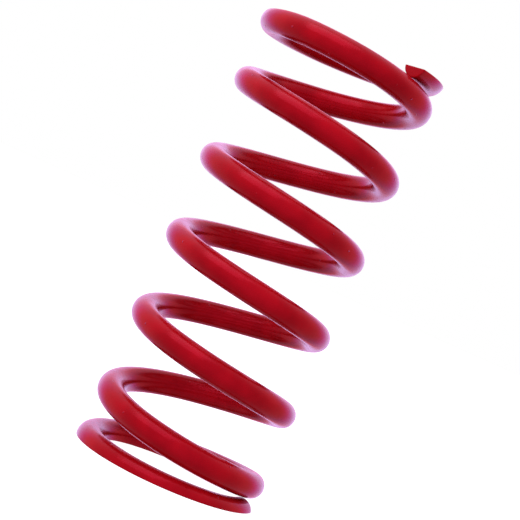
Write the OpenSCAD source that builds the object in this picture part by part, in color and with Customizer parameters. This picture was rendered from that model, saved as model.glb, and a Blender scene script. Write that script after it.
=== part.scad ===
// Coil compression spring with closed and ground ends, wound from one
// length of round steel wire and finished with a thick red coating.
//
// The origin is on the spring's axis, in the plane of the bottom ground face,
// and +Z runs along the axis to the top ground face. The bottom tip of the
// wire is on the +X side.

/* [Wire] */
// Diameter of the bare steel wire
steel_d = 7; // [6:0.1:7.5]
// Thickness of the coating all round the wire
coating = 0.15; // [0.05:0.01:0.2]

/* [Coils] */
// Mean diameter of the coils, from wire centre to wire centre
mean_d = 47; // [40:0.5:60]
// Height between the two ground faces with no load
free_length = 128.8; // [122:0.1:136]
// Turns of wire from tip to tip
total_turns = 7.08; // [6.6:0.01:7.4]
// Which way the coils wind as they rise
winding = "left"; // ["left", "right"]

/* [Closed ends] */
// Gap between each tip and the coil that closes over it
tip_gap = 0.2; // [0.2:0.05:0.6]
// Turns over which the rise per turn grows from the tip's to the full pitch
closing_turns = 1.64; // [1.5:0.01:1.7]
// Thickness of wire left at each tip by the grinding
tip_thickness = 3; // [2.5:0.1:3.6]

/* [Compression] */
// Gap left between the active coils at full compression
loaded_gap = 1.3; // [1.1:0.1:3]
// Share of the travel that the spring is drawn pressed down by
pressed = 0; // [0:0.05:1]

/* [Drawing] */
// Spans of two arcs each that make up one turn of wire
spans_per_turn = 6; // [6:1:12]

/* [Hidden] */

wire_d = steel_d + 2 * coating;
coil_r = mean_d / 2;
winding_sign = winding == "left" ? -1 : 1;

// Each end coil is the whole turn that its own tip supports
end_turns = 1;

// A tip rises tip_pitch per turn and the coils beyond it rise pitch. They come
// from the height of the wire's centre line, centre_rise, and from its rise over
// the first turn, of which each of them makes up a fixed part.
centre_rise = free_length + wire_d - 2 * tip_thickness;
full_turns = total_turns - closing_turns;
first_turn_part = closing_turns * smooth_area(1 / closing_turns);
tip_pitch = (wire_d + tip_gap - first_turn_part * centre_rise / full_turns)
    / (1 - first_turn_part * total_turns / full_turns);
pitch = (centre_rise - tip_pitch * closing_turns) / full_turns;
// Height of the wire's centre at the bottom tip
first_z = tip_thickness - wire_d / 2;

// The active coils share the compression evenly, and it fades in and out over
// easing_turns, from easing_start turns past each tip
easing_turns = 0.5;
easing_start = 0.9;
sharing_turns = total_turns - 2 * easing_start - easing_turns;
travel = (pitch - wire_d - loaded_gap) * sharing_turns;
compression = pressed * travel;

// A whole number of millimetres near half height, which the arcs are placed from
datum_z = round(free_length / 2);

// Difference in diameter between neighbouring arcs, and how far they overlap
hair = 0.04;
lap = 0.05;

coating_colour = [0.68, 0.06, 0.11];
$fn = 48;

// Smooth step from 0 to 1 as u goes from 0 to 1, and the area under it
function smooth(u) = let (v = min(max(u, 0), 1)) v * v * (3 - 2 * v);
function smooth_area(u) =
    u <= 0 ? 0
    : u >= 1 ? u - 0.5
    : pow(u, 3) - pow(u, 4) / 2;

// Rise of the wire's centre over the first t turns from either tip
function rise(t) =
    tip_pitch * t + (pitch - tip_pitch) * closing_turns * smooth_area(t / closing_turns);

// Part of the compression taken up in the first t turns from either tip
function take_up(t) =
    easing_turns * smooth_area((t - easing_start) / easing_turns) / sharing_turns;

// Height above the bottom tip, t turns along the wire
function loaded_rise(t) = rise(t) - compression * take_up(t);
function height(t) =
    t <= total_turns / 2 ? loaded_rise(t)
    : 2 * loaded_rise(total_turns / 2) - loaded_rise(total_turns - t);

// Rise per turn at t turns along the wire
function slope(t) =
    let (from_tip = min(t, total_turns - t))
    tip_pitch + (pitch - tip_pitch) * smooth(from_tip / closing_turns)
    - compression * smooth((from_tip - easing_start) / easing_turns) / sharing_turns;

function unit(v) = v / norm(v);

// Centre of the wire and its direction, t turns from the bottom tip
function wire_point(t) =
    let (a = winding_sign * 360 * t)
    [coil_r * cos(a), coil_r * sin(a), first_z + height(t)];
function wire_direction(t) =
    let (a = winding_sign * 360 * t, sideways = winding_sign * 2 * PI * coil_r)
    unit([-sideways * sin(a), sideways * cos(a), slope(t)]);

// A span of wire is two arcs that meet smoothly. Both run reach(...) past
// their own end along its tangent, and the joint is midway between those points.
function reach(p0, t0, p1, t1) =
    let (chord = p1 - p0, bend = 1 - t0 * t1, along = chord * (t0 + t1))
    (sqrt(along * along + 2 * bend * (chord * chord)) - along) / (2 * bend);

// One piece of wire of diameter d that leaves a in the direction t and bends
// round to b. It reaches lap_a back past a and lap_b on past b.
module wire_arc(a, t, b, d, lap_a = 0, lap_b = 0) {
    chord = b - a;
    half_angle = acos(min(1, t * unit(chord)));
    arc_r = norm(chord) / (2 * sin(half_angle));
    inward = unit(chord - (chord * t) * t);
    centre = a + arc_r * inward;
    x = -inward;
    z = cross(x, t);
    degrees_per_mm = 180 / (PI * arc_r);
    multmatrix([
        [x[0], t[0], z[0], centre[0]],
        [x[1], t[1], z[1], centre[1]],
        [x[2], t[2], z[2], centre[2]],
        [0, 0, 0, 1],
    ])
        rotate([0, 0, -lap_a * degrees_per_mm])
            rotate_extrude(angle = 2 * half_angle + (lap_a + lap_b) * degrees_per_mm)
                translate([arc_r, 0])
                    circle(d = d);
}

// The wire between two places, in turns from the bottom tip. The arcs of a span
// differ by a hair in diameter and the thin one reaches into its thick
// neighbours, so that all of them join into one solid.
module wire(from, to) {
    spans = ceil((to - from) * spans_per_turn - 0.001);
    datum = [0, 0, datum_z];
    translate(datum)
        for (i = [0:spans - 1]) {
            start = from + (to - from) * i / spans;
            end = from + (to - from) * (i + 1) / spans;
            p0 = wire_point(start) - datum;
            p1 = wire_point(end) - datum;
            t0 = wire_direction(start);
            t1 = wire_direction(end);
            d = reach(p0, t0, p1, t1);
            q0 = p0 + d * t0;
            q1 = p1 - d * t1;
            joint = (q0 + q1) / 2;
            wire_arc(p0, t0, joint, wire_d, i == 0 ? 0 : lap, lap);
            wire_arc(joint, unit(q1 - q0), p1, wire_d + hair);
        }
}

// Everything beyond a ground face, as a slab thicker than the wire
module grinding_stock(base_z) {
    width = mean_d + 4 * wire_d;
    translate([-width / 2, -width / 2, base_z])
        cube([width, width, 2 * wire_d]);
}

module bottom_end_coil() {
    color(coating_colour)
        difference() {
            wire(0, end_turns);
            grinding_stock(-2 * wire_d);
        }
}

module active_coils() {
    color(coating_colour)
        wire(end_turns, total_turns - end_turns);
}

module top_end_coil() {
    color(coating_colour)
        difference() {
            wire(total_turns - end_turns, total_turns);
            grinding_stock(free_length - compression);
        }
}

bottom_end_coil();
active_coils();
top_end_coil();
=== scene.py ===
"""Looks of the coil compression spring: one coated wire, in metres, in the CAD frame."""

import math

import bpy
import numpy as np
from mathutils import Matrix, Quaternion, Vector, noise


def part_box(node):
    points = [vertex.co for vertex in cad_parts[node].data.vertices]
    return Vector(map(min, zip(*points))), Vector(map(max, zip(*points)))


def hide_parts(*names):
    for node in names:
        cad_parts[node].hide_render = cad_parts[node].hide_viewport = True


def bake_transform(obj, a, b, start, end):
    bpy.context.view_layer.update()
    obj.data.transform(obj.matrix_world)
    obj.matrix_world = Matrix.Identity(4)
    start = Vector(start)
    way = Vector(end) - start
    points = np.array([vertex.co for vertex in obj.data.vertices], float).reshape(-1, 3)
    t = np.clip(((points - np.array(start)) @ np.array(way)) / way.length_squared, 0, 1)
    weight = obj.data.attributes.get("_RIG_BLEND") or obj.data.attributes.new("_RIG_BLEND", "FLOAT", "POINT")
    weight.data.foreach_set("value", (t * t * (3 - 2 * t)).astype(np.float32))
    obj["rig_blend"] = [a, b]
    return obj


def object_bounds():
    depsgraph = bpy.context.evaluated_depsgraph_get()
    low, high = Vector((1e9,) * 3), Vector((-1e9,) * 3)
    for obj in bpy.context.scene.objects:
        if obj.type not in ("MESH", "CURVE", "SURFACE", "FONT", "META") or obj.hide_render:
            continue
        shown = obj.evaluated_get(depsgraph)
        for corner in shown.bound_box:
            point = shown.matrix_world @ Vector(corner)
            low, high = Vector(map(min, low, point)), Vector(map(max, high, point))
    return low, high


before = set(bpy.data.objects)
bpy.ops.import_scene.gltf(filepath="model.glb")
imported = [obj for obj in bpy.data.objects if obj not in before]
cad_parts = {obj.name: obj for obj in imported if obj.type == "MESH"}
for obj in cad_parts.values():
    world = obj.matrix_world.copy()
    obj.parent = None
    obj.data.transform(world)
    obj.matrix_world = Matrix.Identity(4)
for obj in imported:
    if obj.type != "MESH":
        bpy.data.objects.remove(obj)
cad_low, cad_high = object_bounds()
CENTRE = (cad_low + cad_high) / 2

# ---------------------------------------------------------------- the CAD's dimensions
MM = 0.001
WIRE_R = 7.3 / 2 * MM
COIL_R = 23.5 * MM
TOTAL_TURNS = 7.08
CLOSING_TURNS = 1.64
TIP_GAP = 0.2 * MM
TIP_THICKNESS = 3.0 * MM
EASING_START = 0.9
EASING_TURNS = 0.5
TURN_DIRECTION = -1  # seen from above, a left-hand coil turns this way as it rises
FREE_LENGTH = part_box("top_end_coil")[1][2]

# ---------------------------------------------------------------- edges, and how finely the mesh is made
EDGE_R = 0.25 * MM  # rounding of the ground edges under the coating
CUT_EDGE_R = 0.2 * MM  # rounding round a tip's cut face, less than EDGE_R so that its corners stay round
RINGS_PER_TURN = 190
FLAT_STEPS = 7  # from the middle of a ground flat to its edge
EDGE_STEPS = 4  # over the rounded edge of the flat
ARC_STEPS = 21  # from there to the far side of the wire
CUT_EDGE_STEPS = 4  # over the rounded edge of a cut face
CAP_SHARES = (0.72, 0.42, 0.16)  # sizes of the rings inside a cut face, as shares of its outline

# ---------------------------------------------------------------- unevenness of the coating
SPOT_SWELL = 0.022 * MM  # of broad thick spots
SPOT_LENGTH = 9 * MM
SPOT_WIDTH = 5 * MM
RUN_SWELL = 0.006 * MM  # of narrow runs along the wire
RUN_LENGTH = 30 * MM
RUN_WIDTH = 1.1 * MM
RUN_OFFSET = 40  # takes the runs from another part of the noise than the spots

# ---------------------------------------------------------------- looks of the coating
THIN_COAT = (0.40, 0.0025, 0.006, 1)
THICK_COAT = (0.32, 0.0015, 0.004, 1)
GLOSS = 0.6
GLOSS_TINT = (1.0, 0.06, 0.12, 1)
SHINIEST = 0.16  # roughness
DULLEST = 0.26
FLAT_ROUGHNESS = 0.38
GRAIN_DIRECTION = math.radians(35)  # of the grinding marks

# ---------------------------------------------------------------- light
LIGHT_COLOUR = (1.0, 0.89, 1.17)
BACK_LIGHT = 0.2
FRONT_LIGHT = 0.98
LEFT_LIGHT = 0.66
RIGHT_LIGHT = 0.44
TOP_LIGHT = 1.02
UNDER_LIGHT = 0.38
LOBE_POWER = 2.0  # how narrow the light from each side is
GLOW_MIDDLE = 20  # degrees
GLOWS = (  # colour; degrees reached sideways, up and down; strength in the middle
    ((1.33, 0.0, 0.0), (116, 57, 54), 0.82),
    ((0.0, 0.95, 0.0), (56, 40, 35), 0.45),
    ((0.0, 0.0, 1.8), (68, 40, 35), 0.45),
)
KEY_POWER = 0.72
KEY_SIZE = 0.35
KEY_DISTANCE = 0.4
KEY_FRONT = 0.5  # how far the key light is in front of the spring, to its left and above it
KEY_LEFT = 0.35
KEY_ABOVE = 0.8
FLOOR_HALF_SIZE = 6.0

# ---------------------------------------------------------------- view
VIEW_AZIMUTH = math.radians(15.23)
VIEW_ELEVATION = math.radians(0.6)
VIEW_ROLL = math.radians(24.07)
VIEW_DISTANCE = 0.4097
LENS_MM = 101.7
SENSOR_MM = 36
SHIFT_RIGHT = 0.0009  # of the picture's width
SHIFT_UP = 0.0006


# ---------------------------------------------------------------- the wire's centre line
def smooth(u):
    """Smooth step from 0 to 1 as u goes from 0 to 1."""
    v = min(max(u, 0.0), 1.0)
    return v * v * (3 - 2 * v)


def smooth_area(u):
    """Area under smooth, from 0 to u."""
    if u <= 0:
        return 0.0
    if u >= 1:
        return u - 0.5
    return u**3 - u**4 / 2


# One turn rises TIP_PITCH at the tips and PITCH in the active coils, as the CAD works them out
TURN_LENGTH = 2 * math.pi * COIL_R
CENTRE_RISE = FREE_LENGTH + 2 * WIRE_R - 2 * TIP_THICKNESS
FULL_TURNS = TOTAL_TURNS - CLOSING_TURNS
FIRST_TURN_PART = CLOSING_TURNS * smooth_area(1 / CLOSING_TURNS)
TIP_PITCH = (2 * WIRE_R + TIP_GAP - FIRST_TURN_PART * CENTRE_RISE / FULL_TURNS) / (
    1 - FIRST_TURN_PART * TOTAL_TURNS / FULL_TURNS
)
PITCH = (CENTRE_RISE - TIP_PITCH * CLOSING_TURNS) / FULL_TURNS


def rise(turns):
    """Height gained over the first turns from either tip."""
    area = smooth_area(turns / CLOSING_TURNS)
    return TIP_PITCH * turns + (PITCH - TIP_PITCH) * CLOSING_TURNS * area


def height(turns):
    """Height of the wire's centre above the bottom ground face."""
    first = TIP_THICKNESS - WIRE_R
    if turns <= TOTAL_TURNS / 2:
        return first + rise(turns)
    return first + 2 * rise(TOTAL_TURNS / 2) - rise(TOTAL_TURNS - turns)


def slope(turns):
    """Rise per turn."""
    from_tip = min(turns, TOTAL_TURNS - turns)
    return TIP_PITCH + (PITCH - TIP_PITCH) * smooth(from_tip / CLOSING_TURNS)


def steepness(turns):
    """Length of the wire for each length of the circle under it."""
    return math.hypot(TURN_LENGTH, slope(turns)) / TURN_LENGTH


def wire_length(turns):
    """Distance along the wire, near enough to place its texture."""
    return turns * math.hypot(TURN_LENGTH, PITCH)


def share_of_travel(turns):
    """How much of the top face's travel the wire makes at this place: 0 low down, 1 high up."""
    sharing = TOTAL_TURNS - 2 * EASING_START - EASING_TURNS
    if turns > TOTAL_TURNS / 2:
        return 1 - share_of_travel(TOTAL_TURNS - turns)
    return EASING_TURNS * smooth_area((turns - EASING_START) / EASING_TURNS) / sharing


# ---------------------------------------------------------------- the wire's cross-section
SHALLOWEST = 0.02 * MM  # a flat ground less deep than this has no edge of its own
SPREADING_TURNS = 0.35  # over which the points even out beyond a flat
# Angles that the points of the flat and its edge cover: evenly spaced, and where a flat has just run out
EVEN_SPREAD = math.pi * (FLAT_STEPS + EDGE_STEPS) / (FLAT_STEPS + EDGE_STEPS + ARC_STEPS)
NARROW_SPREAD = math.atan2(
    math.sqrt((WIRE_R - EDGE_R) ** 2 - (WIRE_R - EDGE_R - SHALLOWEST) ** 2),
    WIRE_R - EDGE_R - SHALLOWEST,
)


def flat_turns():
    """Turns from a tip to where its ground flat runs out."""
    low, high = 0.0, 1.0
    for _ in range(40):
        middle = (low + high) / 2
        if height(middle) * steepness(middle) < WIRE_R - SHALLOWEST:
            low = middle
        else:
            high = middle
    return high


FLAT_TURNS = flat_turns()


def half_outline(floor, inset, spread):
    """Half of the wire's outline, from under its centre round to over it, as (out, up, ground) points.
    The wire is ground off below floor, and inset shrinks the outline. ground is 0 on the round, 1 on
    the flat and 0.5 on the edge between them. With no flat, spread is the angle of its points."""
    radius = WIRE_R - inset
    points = []
    if floor > -WIRE_R + SHALLOWEST:
        edge_r = EDGE_R - inset
        edge_up = floor + EDGE_R
        edge_out = math.sqrt((WIRE_R - EDGE_R) ** 2 - edge_up**2)
        for i in range(FLAT_STEPS):
            points.append((edge_out * math.sin(math.pi / 2 * i / FLAT_STEPS), floor + inset, 1.0))
        end = math.atan2(edge_out, -edge_up)
        for i in range(EDGE_STEPS):
            a = end * i / EDGE_STEPS
            ground = 1.0 - 0.5 * i / EDGE_STEPS
            points.append((edge_out + edge_r * math.sin(a), edge_up - edge_r * math.cos(a), ground))
    else:
        end = spread
        for i in range(FLAT_STEPS + EDGE_STEPS):
            a = end * i / (FLAT_STEPS + EDGE_STEPS)
            up = max(-radius * math.cos(a), floor + inset)
            points.append((radius * math.sin(a), up, 0.0))
    for i in range(ARC_STEPS + 1):
        a = end + (math.pi - end) * i / ARC_STEPS
        points.append((radius * math.sin(a), -radius * math.cos(a), 0.0))
    return points


def section(turns, inset=0.0):
    """The wire's outline at this place, as (out, up, ground) points all the way round."""
    at_top = turns > TOTAL_TURNS / 2
    from_tip = TOTAL_TURNS - turns if at_top else turns
    floor = -height(from_tip) * steepness(from_tip)
    eased = smooth((from_tip - FLAT_TURNS) / SPREADING_TURNS)
    spread = NARROW_SPREAD + (EVEN_SPREAD - NARROW_SPREAD) * eased
    half = half_outline(floor, inset, spread)
    if at_top:
        # The top end is the bottom one turned over
        half = [(out, -up, ground) for out, up, ground in half[::-1]]
    # Outside and inside halves make the whole, starting under the centre
    return half + [(-out, up, ground) for out, up, ground in half[-2:0:-1]]


# ---------------------------------------------------------------- the mesh
def place(turns, out, up, ahead):
    """A point out from the wire's centre, up across it and ahead along it."""
    a = TURN_DIRECTION * 2 * math.pi * turns
    radial = Vector((math.cos(a), math.sin(a), 0))
    sideways = TURN_DIRECTION * TURN_LENGTH
    along = Vector((-sideways * math.sin(a), sideways * math.cos(a), slope(turns))).normalized()
    across = TURN_DIRECTION * radial.cross(along)
    return radial * (COIL_R + out) + Vector((0, 0, height(turns))) + across * up + along * ahead


def coating_swell(turns, out, up):
    """How far the coating's surface stands off a true round, from runs and thick spots in it."""
    along = wire_length(turns)
    spot = noise.noise(Vector((along / SPOT_LENGTH, out / SPOT_WIDTH, up / SPOT_WIDTH)))
    run = noise.noise(Vector((along / RUN_LENGTH, out / RUN_WIDTH, up / RUN_WIDTH + RUN_OFFSET)))
    return SPOT_SWELL * spot + RUN_SWELL * run


def rings_along_wire():
    """Where each ring of points lies, as (turns, ahead, inset), with a cut edge rolled over at each tip."""
    rolled = []
    for i in range(CUT_EDGE_STEPS):
        a = math.pi / 2 * (1 - i / CUT_EDGE_STEPS)
        rolled.append((CUT_EDGE_R * (1 - math.sin(a)), CUT_EDGE_R * (1 - math.cos(a))))
    start = CUT_EDGE_R / math.hypot(TURN_LENGTH, TIP_PITCH)
    count = round(TOTAL_TURNS * RINGS_PER_TURN)
    rings = [(0.0, ahead, inset) for ahead, inset in rolled]
    for i in range(count + 1):
        rings.append((start + (TOTAL_TURNS - 2 * start) * i / count, 0.0, 0.0))
    rings += [(TOTAL_TURNS, -ahead, inset) for ahead, inset in rolled[::-1]]
    return rings


def wire_surface():
    """Points and faces of the whole wire, and each point's share of the travel, place on the wire and how
    far it is ground."""
    points, faces, shares, places, grounds = [], [], [], [], []

    def add(turns, out, up, ahead, ground):
        point = place(turns, out, up, ahead)
        point.z = min(max(point.z, 0.0), FREE_LENGTH)  # the coating ends in the planes of the ground faces
        points.append(point)
        shares.append(share_of_travel(turns))
        places.append((wire_length(turns) + ahead, out, up))
        grounds.append(ground)

    rings = rings_along_wire()
    for turns, ahead, inset in rings:
        for out, up, ground in section(turns, inset):
            swell = coating_swell(turns, out, up) * (1 - ground)
            grown = 1 + swell / (math.hypot(out, up) or WIRE_R)
            add(turns, out * grown, up * grown, ahead, ground)
    around = len(section(0.0))
    following = [*range(1, around), 0]  # the next point round a ring
    for i in range(len(rings) - 1):
        a, b = i * around, (i + 1) * around
        for j, k in enumerate(following):
            faces.append((a + j, a + k, b + k, b + j))

    for first, turns in ((0, 0.0), ((len(rings) - 1) * around, TOTAL_TURNS)):
        side = 1 if first == 0 else -1  # the order of points that makes a face look outwards
        outline = section(turns, CUT_EDGE_R)
        middle = sum(up for _, up, _ in outline) / around
        edge = first
        for share in CAP_SHARES:
            inner = len(points)
            for out, up, _ in outline:
                add(turns, out * share, middle + (up - middle) * share, 0.0, 0.0)
            for j, k in enumerate(following):
                faces.append((edge + k, edge + j, inner + j, inner + k)[::side])
            edge = inner
        centre = len(points)
        add(turns, 0.0, middle, 0.0, 0.0)
        for j, k in enumerate(following):
            faces.append((edge + k, edge + j, centre)[::side])
    return points, faces, shares, places, grounds


def spring_wire():
    """The whole wire as one closed mesh, with its share of the travel on every point."""
    points, faces, shares, places, grounds = wire_surface()
    mesh = bpy.data.meshes.new("spring_wire")
    mesh.from_pydata(points, [], faces)
    mesh.validate()
    mesh.shade_smooth()
    wire_place = mesh.attributes.new("wire_place", "FLOAT_VECTOR", "POINT")
    wire_place.data.foreach_set("vector", np.array(places, np.float32).ravel())
    ground = mesh.attributes.new("ground", "FLOAT", "POINT")
    ground.data.foreach_set("value", np.array(grounds, np.float32))
    piece = bpy.data.objects.new("spring_wire", mesh)
    bpy.context.scene.collection.objects.link(piece)

    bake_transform(piece, "bottom", "top", start=(0, 0, 0), end=(0, 0, FREE_LENGTH))
    # The active coils share the travel evenly along the wire, which a straight line in height doesn't say
    mesh.attributes["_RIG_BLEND"].data.foreach_set("value", np.array(shares, np.float32))
    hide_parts("bottom_end_coil", "active_coils", "top_end_coil")
    return piece


# ---------------------------------------------------------------- shader nodes
def node(tree, kind, **settings):
    """A new node with these settings."""
    made = tree.nodes.new(kind)
    for name, value in settings.items():
        setattr(made, name, value)
    return made


def feed(tree, socket, value):
    """Give a socket a number, or link it where the value is another node's output."""
    if isinstance(value, bpy.types.NodeSocket):
        tree.links.new(value, socket)
    else:
        socket.default_value = value


def map_range(tree, value, low, high, to_low, to_high, interpolation="LINEAR"):
    """The value's way from low to high, as a way from to_low to to_high."""
    made = node(tree, "ShaderNodeMapRange", interpolation_type=interpolation)
    made.inputs["From Min"].default_value = low
    made.inputs["From Max"].default_value = high
    made.inputs["To Min"].default_value = to_low
    made.inputs["To Max"].default_value = to_high
    tree.links.new(value, made.inputs["Value"])
    return made.outputs["Result"]


# ---------------------------------------------------------------- the coating
def red_coating():
    """Glossy red powder coat: orange peel, streaks, specks, and grinding marks on the flats."""
    material = bpy.data.materials.new("red_coating")
    material.use_nodes = True
    tree = material.node_tree
    shader = tree.nodes["Principled BSDF"]
    shader.inputs["Specular IOR Level"].default_value = GLOSS
    shader.inputs["Specular Tint"].default_value = GLOSS_TINT
    link = tree.links.new

    on_wire = node(tree, "ShaderNodeAttribute", attribute_name="wire_place").outputs["Vector"]
    ground = node(tree, "ShaderNodeAttribute", attribute_name="ground").outputs["Fac"]
    in_space = node(tree, "ShaderNodeTexCoord").outputs["Object"]

    def noise_at(position, scale, detail, stretch=(1, 1, 1), turned=0.0):
        mapping = node(tree, "ShaderNodeMapping")
        mapping.inputs["Rotation"].default_value = (0, 0, turned)
        mapping.inputs["Scale"].default_value = stretch
        link(position, mapping.inputs["Vector"])
        texture = node(tree, "ShaderNodeTexNoise")
        texture.inputs["Scale"].default_value = scale
        texture.inputs["Detail"].default_value = detail
        link(mapping.outputs["Vector"], texture.inputs["Vector"])
        return texture.outputs["Fac"]

    def bump(relief, strength, distance, under=None):
        made = node(tree, "ShaderNodeBump")
        feed(tree, made.inputs["Strength"], strength)
        made.inputs["Distance"].default_value = distance
        link(relief, made.inputs["Height"])
        if under is not None:
            link(under, made.inputs["Normal"])
        return made.outputs["Normal"]

    # Colour: a little deeper where the coat is thick
    colours = node(tree, "ShaderNodeValToRGB")
    thick, thin = colours.color_ramp.elements
    thick.position = 0.35
    thick.color = THICK_COAT
    thin.position = 0.65
    thin.color = THIN_COAT
    link(noise_at(on_wire, scale=160, detail=3), colours.inputs["Fac"])
    link(colours.outputs["Color"], shader.inputs["Base Color"])

    # Roughness: gloss, slightly dulled in places and on the ground flats
    patches = noise_at(on_wire, scale=700, detail=4)
    dulled = map_range(tree, patches, 0.3, 0.7, SHINIEST, DULLEST)
    rough = node(tree, "ShaderNodeMix", data_type="FLOAT")
    link(ground, rough.inputs["Factor"])
    link(dulled, rough.inputs["A"])
    rough.inputs["B"].default_value = FLAT_ROUGHNESS
    link(rough.outputs["Result"], shader.inputs["Roughness"])

    # Bump: orange peel, fine streaks along the wire, a few specks under the coat, and grinding marks
    orange_peel = noise_at(on_wire, scale=900, detail=2)
    normal = bump(orange_peel, strength=0.25, distance=0.02 * MM)
    streaks = noise_at(on_wire, scale=500, detail=3, stretch=(0.06, 1, 1))
    normal = bump(streaks, strength=0.3, distance=0.03 * MM, under=normal)
    cells = node(tree, "ShaderNodeTexVoronoi")
    cells.inputs["Scale"].default_value = 260
    link(on_wire, cells.inputs["Vector"])
    specks = map_range(tree, cells.outputs["Distance"], 0.0, 0.09, 1.0, 0.0)
    normal = bump(specks, strength=1.0, distance=0.25 * MM, under=normal)
    scratches = noise_at(in_space, scale=1500, detail=4, stretch=(0.03, 1, 0), turned=GRAIN_DIRECTION)
    scratched = map_range(tree, ground, 0.5, 1.0, 0.0, 0.7)
    normal = bump(scratches, strength=scratched, distance=0.2 * MM, under=normal)
    link(normal, shader.inputs["Normal"])
    return material


# ---------------------------------------------------------------- studio
def studio_floor():
    """A plain pale floor that the spring stands on."""
    size = FLOOR_HALF_SIZE
    mesh = bpy.data.meshes.new("floor")
    corners = [(-size, -size, 0), (size, -size, 0), (size, size, 0), (-size, size, 0)]
    mesh.from_pydata(corners, [], [(0, 1, 2, 3)])
    floor = bpy.data.objects.new("floor", mesh)
    bpy.context.scene.collection.objects.link(floor)
    material = bpy.data.materials.new("floor")
    material.use_nodes = True
    shader = material.node_tree.nodes["Principled BSDF"]
    shader.inputs["Base Color"].default_value = (0.5, 0.5, 0.5, 1)
    shader.inputs["Roughness"].default_value = 0.9
    shader.inputs["Specular IOR Level"].default_value = 0.1
    shader.inputs["Emission Color"].default_value = (1, 1, 1, 1)
    shader.inputs["Emission Strength"].default_value = 1.0
    mesh.materials.append(material)
    floor.visible_glossy = False
    floor.visible_diffuse = False


def key_light(to_camera):
    """One large soft light near the spring, above and in front of it to the left."""
    front = Vector((to_camera.x, to_camera.y, 0)).normalized()
    left = front.cross(Vector((0, 0, 1)))
    out = (KEY_FRONT * front + KEY_LEFT * left + Vector((0, 0, KEY_ABOVE))).normalized()
    data = bpy.data.lights.new("key_light", "AREA")
    data.size = KEY_SIZE
    data.energy = KEY_POWER
    data.color = LIGHT_COLOUR
    light = bpy.data.objects.new("key_light", data)
    bpy.context.scene.collection.objects.link(light)
    light.location = CENTRE + out * KEY_DISTANCE
    light.rotation_mode = "QUATERNION"
    light.rotation_quaternion = out.to_track_quat("Z", "Y")
    light.visible_camera = False


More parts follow.
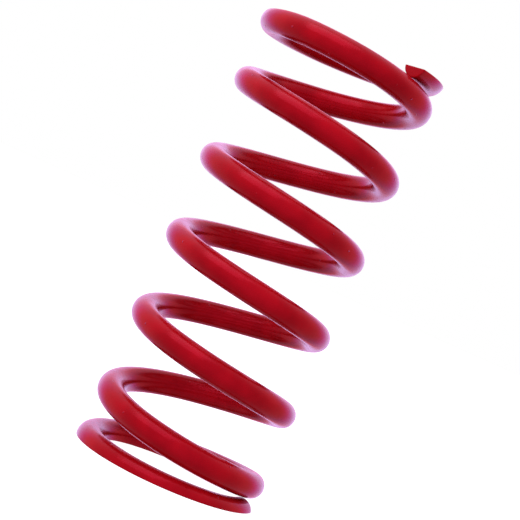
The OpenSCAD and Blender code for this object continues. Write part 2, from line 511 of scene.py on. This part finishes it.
def studio_world(back_axis):
    """Soft light that changes smoothly from side to side of the studio. Its backdrop shows in gloss as
    a wide glow, whose colours reach to different widths, and the camera sees plain white."""
    world = bpy.data.worlds.new("studio")
    bpy.context.scene.world = world
    world.use_nodes = True
    tree = world.node_tree
    link = tree.links.new
    direction = node(tree, "ShaderNodeTexCoord").outputs["Generated"]
    rays = node(tree, "ShaderNodeLightPath")
    camera_ray = rays.outputs["Is Camera Ray"]
    glossy_ray = rays.outputs["Is Glossy Ray"]

    def towards(axis):
        made = node(tree, "ShaderNodeVectorMath", operation="DOT_PRODUCT")
        made.inputs[1].default_value = axis
        link(direction, made.inputs[0])
        return made.outputs["Value"]

    def maths(operation, a, b=0.0):
        made = node(tree, "ShaderNodeMath", operation=operation)
        feed(tree, made.inputs[0], a)
        feed(tree, made.inputs[1], b)
        return made.outputs[0]

    up = Vector((0, 0, 1))
    back = Vector((back_axis.x, back_axis.y, 0)).normalized()
    right = back.cross(up)
    lobes = (
        (back, BACK_LIGHT),
        (-back, FRONT_LIGHT),
        (-right, LEFT_LIGHT),
        (right, RIGHT_LIGHT),
        (up, TOP_LIGHT),
        (-up, UNDER_LIGHT),
    )
    light = 0.0
    for axis, strength in lobes:
        facing = maths("MAXIMUM", towards(axis))
        light = maths("ADD", light, maths("MULTIPLY", maths("POWER", facing, LOBE_POWER), strength))

    # Degrees away from the middle of the backdrop, and how much of that is sideways, up or down.
    # The numbers beside 1 keep the arccosine and the division in range at the very middle.
    ahead = towards(back)
    angle = maths("MULTIPLY", maths("ARCCOSINE", maths("MINIMUM", ahead, 0.99999)), 180 / math.pi)
    away = maths("SUBTRACT", 1.0001, maths("MULTIPLY", ahead, ahead))
    above = towards(up)
    parts = []
    for part in (towards(right), maths("MAXIMUM", above), maths("MINIMUM", above)):
        parts.append(maths("DIVIDE", maths("MULTIPLY", part, part), away))

    def glow(reaches, middle):
        """A glow that reaches so many degrees to the sides, up and down. It is even over the first half of
        that, fades beyond it, and has another strength in the middle of the backdrop."""
        total = 0.0
        for part, reach in zip(parts, reaches):
            fade = map_range(tree, angle, reach / 2, reach, 1.0, 0.0, "SMOOTHSTEP")
            total = maths("ADD", total, maths("MULTIPLY", part, fade))
        return maths("MULTIPLY", total, map_range(tree, angle, 0.0, GLOW_MIDDLE, middle, 1.0))

    backgrounds = [
        ((1, 1, 1), camera_ray),
        (LIGHT_COLOUR, maths("MULTIPLY", light, maths("SUBTRACT", 1.0, camera_ray))),
    ]
    for colour, reaches, middle in GLOWS:
        backgrounds.append((colour, maths("MULTIPLY", glow(reaches, middle), glossy_ray)))
    total = None
    for colour, strength in backgrounds:
        made = node(tree, "ShaderNodeBackground")
        made.inputs["Color"].default_value = (*colour, 1)
        link(strength, made.inputs["Strength"])
        if total is None:
            total = made.outputs[0]
            continue
        both = node(tree, "ShaderNodeAddShader")
        link(total, both.inputs[0])
        link(made.outputs[0], both.inputs[1])
        total = both.outputs[0]
    link(total, tree.nodes["World Output"].inputs["Surface"])
    tree.nodes.remove(tree.nodes["Background"])


def camera():
    """A long lens at the spring's mid height, rolled so that the spring leans to the right. Returns the
    direction from the spring to the camera."""
    data = bpy.data.cameras.new("camera")
    data.lens = LENS_MM
    data.sensor_width = SENSOR_MM
    data.shift_x = SHIFT_RIGHT
    data.shift_y = SHIFT_UP
    data.clip_start = 0.01
    view = bpy.data.objects.new("camera", data)
    bpy.context.scene.collection.objects.link(view)
    level = math.cos(VIEW_ELEVATION)
    out = Vector(
        (math.sin(VIEW_AZIMUTH) * level, -math.cos(VIEW_AZIMUTH) * level, math.sin(VIEW_ELEVATION))
    )
    view.location = CENTRE + out * VIEW_DISTANCE
    view.rotation_mode = "QUATERNION"
    view.rotation_quaternion = (-out).to_track_quat("-Z", "Y") @ Quaternion((0, 0, 1), VIEW_ROLL)
    bpy.context.scene.camera = view
    return out


to_camera = camera()
wire = spring_wire()
wire.data.materials.append(red_coating())
studio_floor()
studio_world(-to_camera)
key_light(to_camera)
bpy.context.scene.view_settings.view_transform = "Standard"
